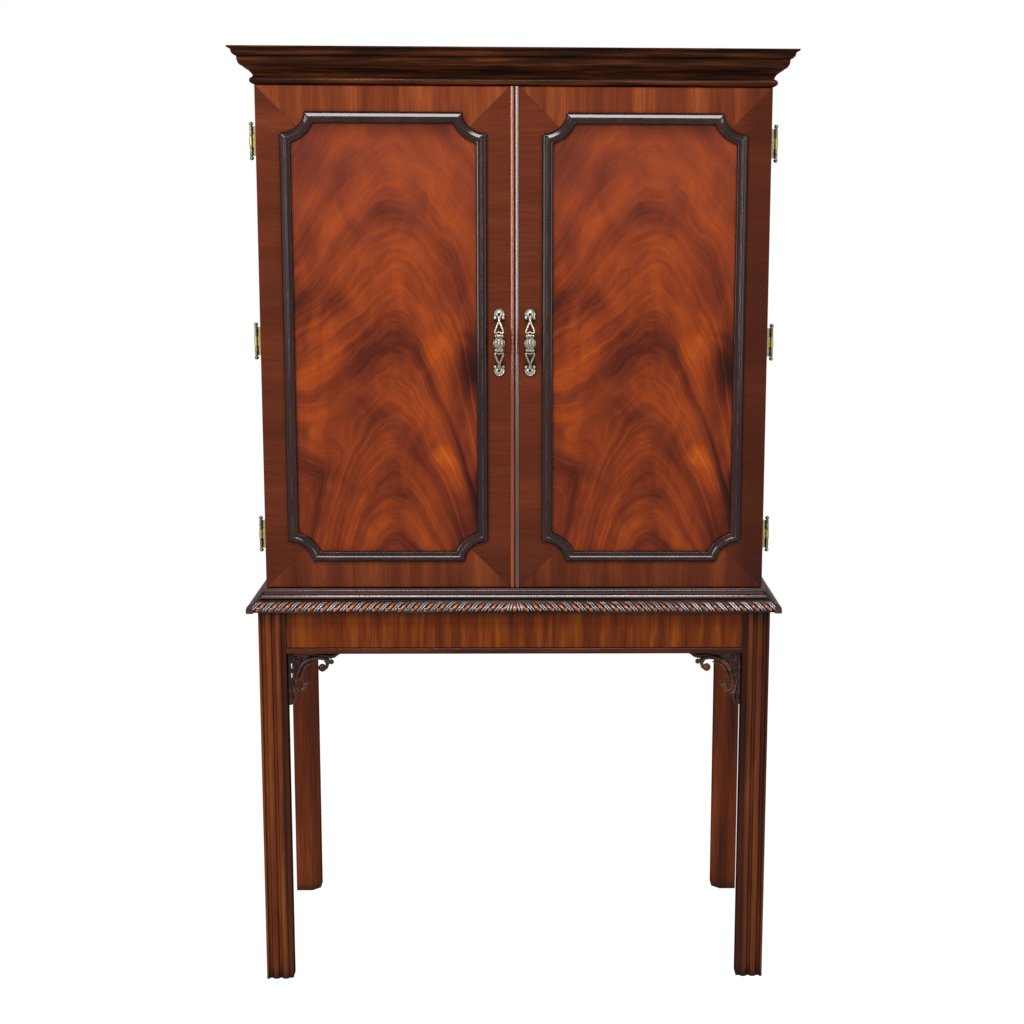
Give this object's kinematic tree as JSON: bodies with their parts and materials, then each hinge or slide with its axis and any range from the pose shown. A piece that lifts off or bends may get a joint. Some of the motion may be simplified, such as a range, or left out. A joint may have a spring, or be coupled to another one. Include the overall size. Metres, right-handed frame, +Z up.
{
  "type": "bar cabinet with fold out shelf",
  "caption": "Two-door mahogany bar cabinet on a stand of straight moulded legs, with a leaf that folds out over pull-out supports inside.",
  "frame": {"origin": "on the floor, under the middle of the whole cabinet", "axes": "+Z up, the doors face -Y, +X to the right seen from the front"},
  "size_m": [1.098, 0.58, 1.9],
  "materials": {
    "leg_wood": "satin lacquer on red-brown mahogany",
    "apron_veneer": "satin lacquer on golden-brown streaked veneer",
    "carved_moulding": "gloss lacquer on near-black stained mahogany",
    "case_veneer": "gloss lacquer on mahogany veneer",
    "crossband_veneer": "gloss lacquer on crossbanded dark mahogany",
    "flame_veneer": "gloss lacquer on flame mahogany veneer",
    "interior_wood": "satin lacquer on plain mahogany",
    "backing_board": "unpolished board",
    "cast_brass": "cast, antiqued grey-gold",
    "shelf_glass": "clear with polished edges",
    "mirror_glass": "silvered"
  },
  "bodies": {
    "case_and_stand": {"left_front_leg": "leg_wood", "right_front_leg": "leg_wood", "left_back_leg": "leg_wood", "right_back_leg": "leg_wood", "front_apron": "apron_veneer", "left_apron": "apron_veneer", "right_apron": "apron_veneer", "back_apron": "apron_veneer", "left_bracket": "carved_moulding", "right_bracket": "carved_moulding", "stand_top": "leg_wood", "front_gadroon_edge": "carved_moulding", "left_gadroon_edge": "carved_moulding", "right_gadroon_edge": "carved_moulding", "front_waist_moulding": "carved_moulding", "left_waist_moulding": "carved_moulding", "right_waist_moulding": "carved_moulding", "front_cornice": "carved_moulding", "left_cornice": "carved_moulding", "right_cornice": "carved_moulding", "case_left_side": "case_veneer", "case_right_side": "case_veneer", "case_bottom": "interior_wood", "case_top": "interior_wood", "case_divider": "interior_wood", "back_panel": "backing_board", "top_board": "backing_board", "left_lower_hinge_case_leaf": "cast_brass", "left_middle_hinge_case_leaf": "cast_brass", "left_upper_hinge_case_leaf": "cast_brass", "right_lower_hinge_case_leaf": "cast_brass", "right_middle_hinge_case_leaf": "cast_brass", "right_upper_hinge_case_leaf": "cast_brass", "bar_deck": "interior_wood", "leaf_hinge_deck_half": "cast_brass", "glass_shelf": "shelf_glass", "back_mirror": "mirror_glass", "right_shelf": "interior_wood", "stemware_rack": "interior_wood", "bottle_rack": "interior_wood"},
    "left_door": {"left_door_slab": "crossband_veneer", "left_door_flame_panel": "flame_veneer", "left_door_frame_moulding": "carved_moulding", "left_door_meeting_bead": "carved_moulding", "left_pull": "cast_brass", "left_lower_hinge_door_leaf": "cast_brass", "left_middle_hinge_door_leaf": "cast_brass", "left_upper_hinge_door_leaf": "cast_brass"},
    "right_door": {"right_door_slab": "crossband_veneer", "right_door_flame_panel": "flame_veneer", "right_door_frame_moulding": "carved_moulding", "right_door_meeting_bead": "carved_moulding", "right_pull": "cast_brass", "right_lower_hinge_door_leaf": "cast_brass", "right_middle_hinge_door_leaf": "cast_brass", "right_upper_hinge_door_leaf": "cast_brass"},
    "leaf": {"fold_out_leaf": "interior_wood", "leaf_hinge_leaf_half": "cast_brass"},
    "outer_support": {"outer_leaf_support": "interior_wood"},
    "inner_support": {"inner_leaf_support": "interior_wood"}
  },
  "joints": [
    {"name": "left_door_hinge", "type": "hinge", "parent": "case_and_stand", "child": "left_door", "pos_m": [-0.515, -0.22225, 1.333], "axis": [0, 0, -1], "range_deg": [0, 180]},
    {"name": "right_door_hinge", "type": "hinge", "parent": "case_and_stand", "child": "right_door", "pos_m": [0.515, -0.22225, 1.333], "axis": [0, 0, 1], "range_deg": [0, 180]},
    {"name": "leaf_fold", "type": "hinge", "parent": "case_and_stand", "child": "leaf", "pos_m": [-0.2465, -0.212, 1.18025], "axis": [1, 0, 0], "range_deg": [0, 180]},
    {"name": "outer_support_slide", "type": "slide", "parent": "case_and_stand", "child": "outer_support", "axis": [0, -1, 0], "range_m": [0, 0.2514]},
    {"name": "inner_support_slide", "type": "slide", "parent": "case_and_stand", "child": "inner_support", "axis": [0, -1, 0], "range_m": [0, 0.2514]}
  ],
  "couplings": [
    {"joint": "leaf_fold", "follows": "left_door_hinge", "ratio": 1},
    {"joint": "outer_support_slide", "follows": "left_door_hinge", "m_per_rad": 0.08},
    {"joint": "inner_support_slide", "follows": "left_door_hinge", "m_per_rad": 0.08}
  ]
}
